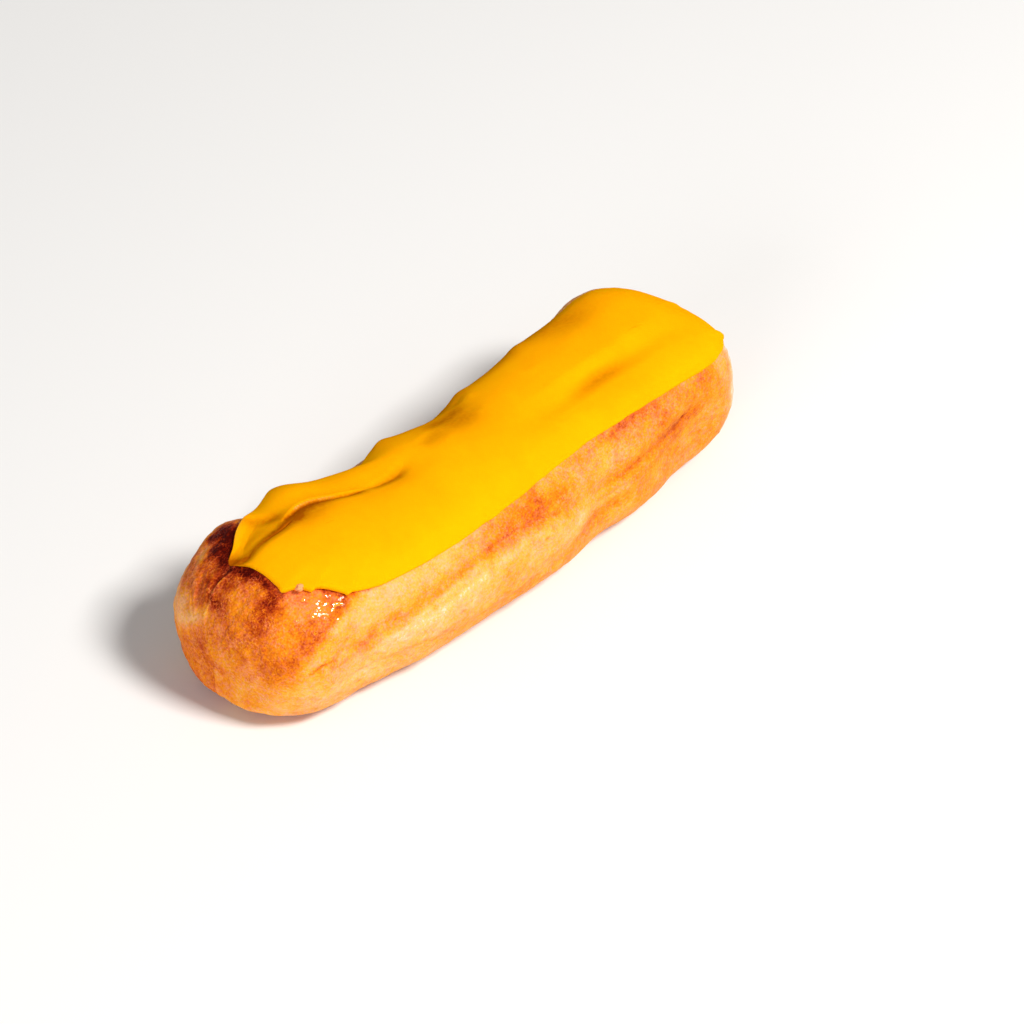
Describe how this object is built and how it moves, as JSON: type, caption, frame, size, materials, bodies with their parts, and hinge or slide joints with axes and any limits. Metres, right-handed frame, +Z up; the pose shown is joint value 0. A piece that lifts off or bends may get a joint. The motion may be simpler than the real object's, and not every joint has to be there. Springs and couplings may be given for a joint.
{
  "type": "iced eclair",
  "caption": "Long baked choux bun with rounded ends and a flat foot, under a sheet of glossy yellow fondant icing.",
  "frame": {"origin": "on the flat foot, under the middle of the whole eclair", "axes": "+X along the eclair towards its blunt end, +Z up through the icing"},
  "size_m": [0.1416, 0.0474, 0.0334],
  "materials": {
    "baked_crust": "golden baked choux crust, mottled, pale on the piped ridges and deep brown where the oven caught it",
    "yellow_fondant": "smooth poured fondant, warm yellow, satin gloss"
  },
  "bodies": {
    "root": {"choux_body": "baked_crust", "fondant_icing": "yellow_fondant"}
  },
  "joints": []
}
